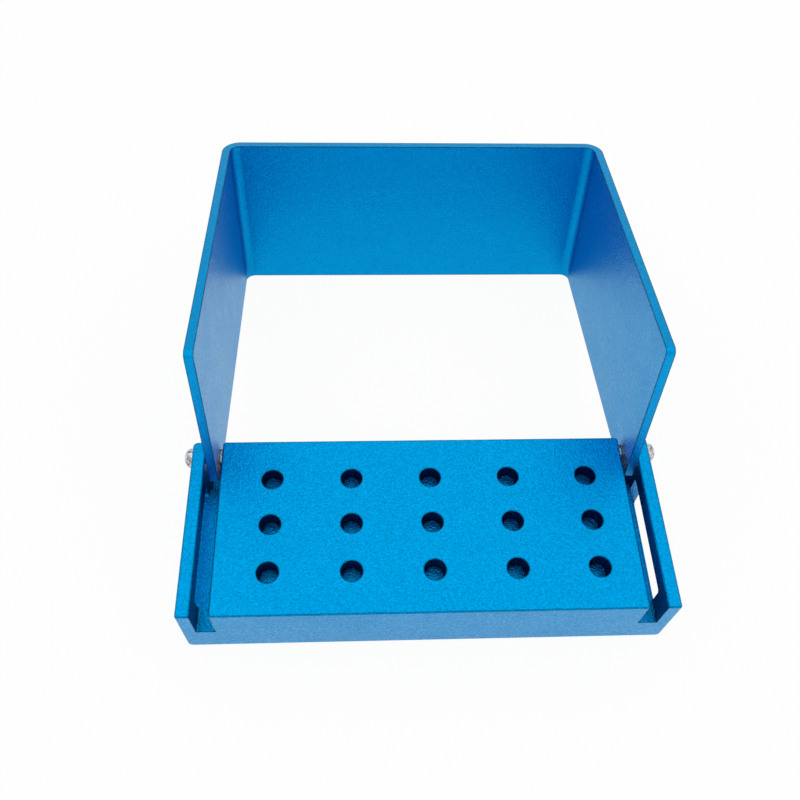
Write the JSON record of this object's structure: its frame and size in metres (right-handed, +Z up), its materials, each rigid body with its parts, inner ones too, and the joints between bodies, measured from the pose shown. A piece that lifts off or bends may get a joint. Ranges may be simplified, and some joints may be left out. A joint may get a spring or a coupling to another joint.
{
  "type": "dental bur block",
  "caption": "Blue anodised metal dental bur block, a low drilled base with a hinged channel cover laid open behind it.",
  "frame": {"origin": "middle of the flat underside of the base", "axes": "+X along the length of the base to the right, +Y towards the hinged back, +Z up"},
  "size_m": [0.0604, 0.0643, 0.0299],
  "materials": {
    "blue_anodised_base": "fine sand-blasted, blue anodised, satin",
    "blue_anodised_cover": "fine sand-blasted, blue anodised, satin",
    "bright_steel": "bright turned steel"
  },
  "bodies": {
    "base": {"base_block": "blue_anodised_base", "left_hinge_rivet": "bright_steel", "right_hinge_rivet": "bright_steel"},
    "cover": {"cover": "blue_anodised_cover"}
  },
  "joints": [
    {"name": "cover_hinge", "type": "hinge", "parent": "base", "child": "cover", "pos_m": [0, 0.00995, 0.0084], "axis": [1, 0, 0], "range_deg": [0, 100.08]}
  ]
}
